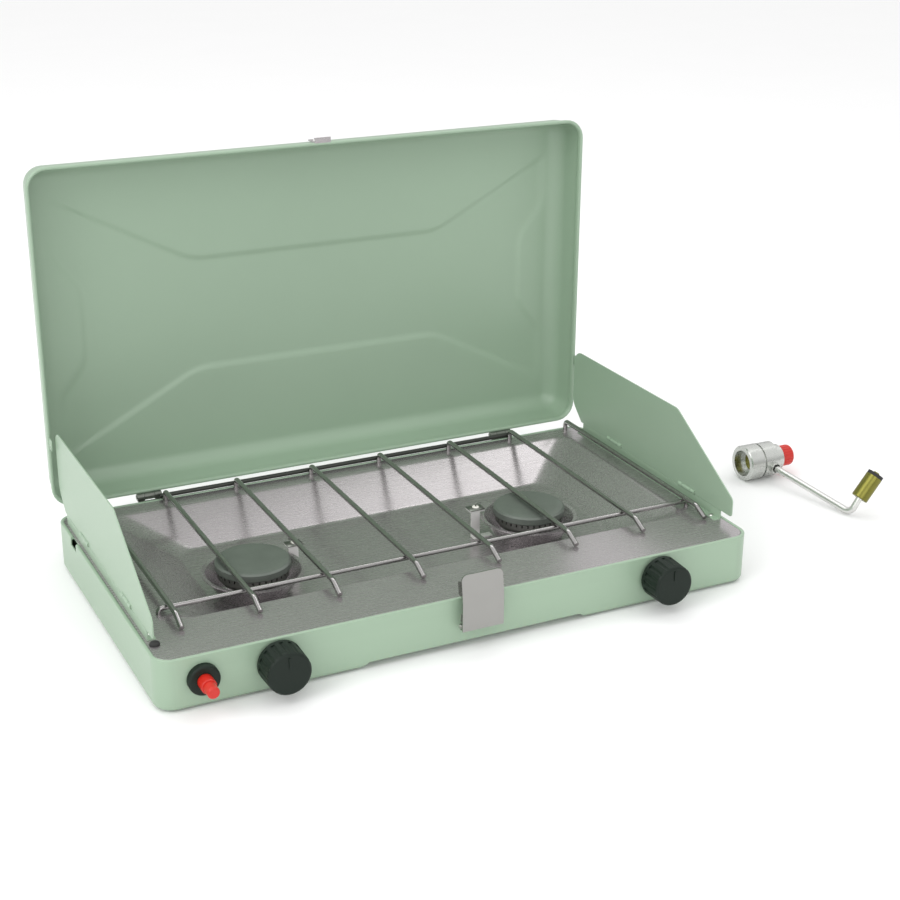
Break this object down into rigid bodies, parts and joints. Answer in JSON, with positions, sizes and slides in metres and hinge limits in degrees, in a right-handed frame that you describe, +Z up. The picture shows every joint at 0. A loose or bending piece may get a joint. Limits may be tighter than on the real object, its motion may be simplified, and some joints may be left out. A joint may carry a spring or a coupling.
{
  "type": "camping stove",
  "caption": "Two-burner propane camping stove with a hinged lid, folding side windscreens, wire cooking grate, drip tray and a separate cylinder regulator.",
  "frame": {"origin": "on the ground, under the middle of the stove's base", "axes": "+X to the stove's right as the cook faces it, +Y to its back, +Z up"},
  "size_m": [0.7169, 0.3637, 0.3477],
  "materials": {
    "green_paint": "satin",
    "stainless": "brushed",
    "zinc_steel": "satin",
    "grate_chrome": "polished",
    "burner_enamel": "matte",
    "cast_ring": "cast",
    "zinc_cast": "satin",
    "brass": "machined",
    "knob_plastic": "matte",
    "red_plastic": "gloss",
    "rubber": "matte",
    "ceramic": "gloss"
  },
  "bodies": {
    "base": {"base_hinge_leaves": "zinc_steel", "base_hinge_rivets": "zinc_steel", "base_pan": "green_paint", "burner_bowl_left": "stainless", "burner_bowl_right": "stainless", "burner_cap_left": "burner_enamel", "burner_cap_right": "burner_enamel", "burner_ring_left": "cast_ring", "burner_ring_right": "cast_ring", "drip_tray": "stainless", "electrode_brackets": "stainless", "electrode_ceramics": "ceramic", "electrode_pins": "zinc_steel", "feet": "rubber", "gas_inlet": "brass", "grate_front_wire": "grate_chrome", "grate_long_wires": "grate_chrome", "grate_rear_wire": "grate_chrome", "hinge_pins": "zinc_steel", "igniter_body": "knob_plastic", "igniter_collar": "knob_plastic", "igniter_spring": "zinc_steel", "inlet_nut": "zinc_steel", "jets": "brass", "latch_bracket": "zinc_steel", "latch_pin": "zinc_steel", "lid_bumper": "rubber", "manifold_pipe": "brass", "mixer_tube_left": "zinc_steel", "mixer_tube_right": "zinc_steel", "rail_rivets": "zinc_steel", "valve_left": "brass", "valve_nuts": "zinc_steel", "valve_right": "brass", "windscreen_pins": "zinc_steel", "windscreen_rail_left": "green_paint", "windscreen_rail_right": "green_paint"},
    "lid": {"lid": "green_paint", "lid_catch": "stainless", "lid_hinge_leaves": "zinc_steel", "lid_rivets": "zinc_steel"},
    "windscreen_left": {"windscreen_left": "green_paint"},
    "windscreen_right": {"windscreen_right": "green_paint"},
    "knob_left": {"knob_left": "knob_plastic", "valve_stem_left": "zinc_steel"},
    "knob_right": {"knob_right": "knob_plastic", "valve_stem_right": "zinc_steel"},
    "igniter_button": {"igniter_button": "red_plastic"},
    "latch": {"latch_plate": "zinc_steel"},
    "regulator": {"regulator_body": "zinc_cast", "regulator_cap": "red_plastic", "regulator_insert": "brass", "regulator_nipple": "brass", "regulator_nut": "brass", "regulator_oring": "rubber", "regulator_tube": "zinc_steel"}
  },
  "joints": [
    {"name": "lid_hinge", "type": "hinge", "parent": "base", "child": "lid", "pos_m": [0, 0.1543, 0.0439], "axis": [1, 0, 0], "range_deg": [0, 90]},
    {"name": "windscreen_left_fold", "type": "hinge", "parent": "base", "child": "windscreen_left", "pos_m": [-0.2544, 0, 0.0532], "axis": [0, 1, 0], "range_deg": [0, 80]},
    {"name": "windscreen_right_fold", "type": "hinge", "parent": "base", "child": "windscreen_right", "pos_m": [0.2544, 0, 0.0532], "axis": [0, -1, 0], "range_deg": [0, 80]},
    {"name": "knob_left_turn", "type": "hinge", "parent": "base", "child": "knob_left", "pos_m": [-0.167, -0.15, 0.026], "axis": [0, -1, 0], "range_deg": [0, 270]},
    {"name": "knob_right_turn", "type": "hinge", "parent": "base", "child": "knob_right", "pos_m": [0.167, -0.15, 0.026], "axis": [0, -1, 0], "range_deg": [0, 270]},
    {"name": "igniter_press", "type": "slide", "parent": "base", "child": "igniter_button", "axis": [0, 1, 0], "range_m": [0, 0.007], "stiffness_N_per_m": 1200, "springref_m": -0.004, "deforming": ["igniter_spring"]},
    {"name": "latch_swing", "type": "hinge", "parent": "base", "child": "latch", "pos_m": [0, -0.1486, 0.0214], "axis": [1, 0, 0], "range_deg": [0, 95]},
    {"name": "regulator_lift", "type": "slide", "parent": "base", "child": "regulator", "axis": [0, 0, 1], "range_m": [0, 0.12]}
  ],
  "couplings": [
    {"joint": "windscreen_left_fold", "follows": "lid_hinge", "ratio": 0.8888},
    {"joint": "windscreen_right_fold", "follows": "lid_hinge", "ratio": 0.8888}
  ]
}
